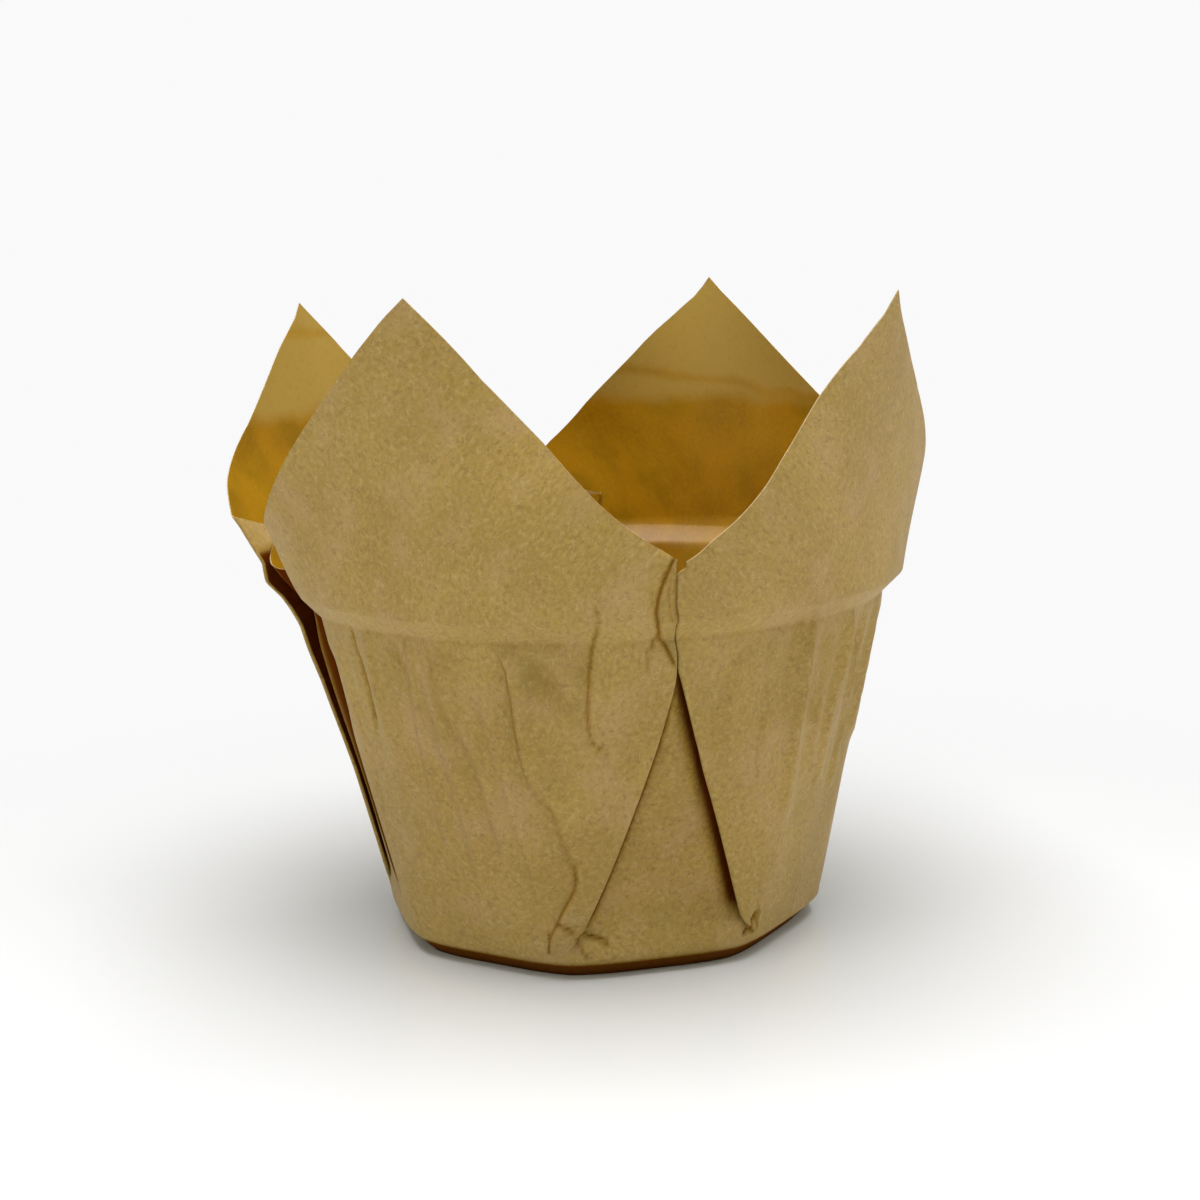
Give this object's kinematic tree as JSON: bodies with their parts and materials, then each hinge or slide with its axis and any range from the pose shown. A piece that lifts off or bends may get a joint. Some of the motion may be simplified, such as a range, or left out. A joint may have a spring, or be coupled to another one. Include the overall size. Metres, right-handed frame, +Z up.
{
  "type": "tulip cupcake liner",
  "caption": "Tulip-style cupcake liner folded from one square of natural brown greaseproof paper, with a faceted base, a ledge, box pleats and pointed petals.",
  "frame": {"origin": "centre of the base on the plane it rests on", "axes": "+Z up through the cup's mouth; a box pleat faces each of -Y, +X, +Y and -X, and the petals stand on the diagonals"},
  "size_m": [0.0781, 0.0785, 0.0732],
  "materials": {
    "paper": "natural kraft greaseproof paper, matt outside, slightly glossy inside"
  },
  "bodies": {
    "root": {"liner": "paper"}
  },
  "joints": []
}
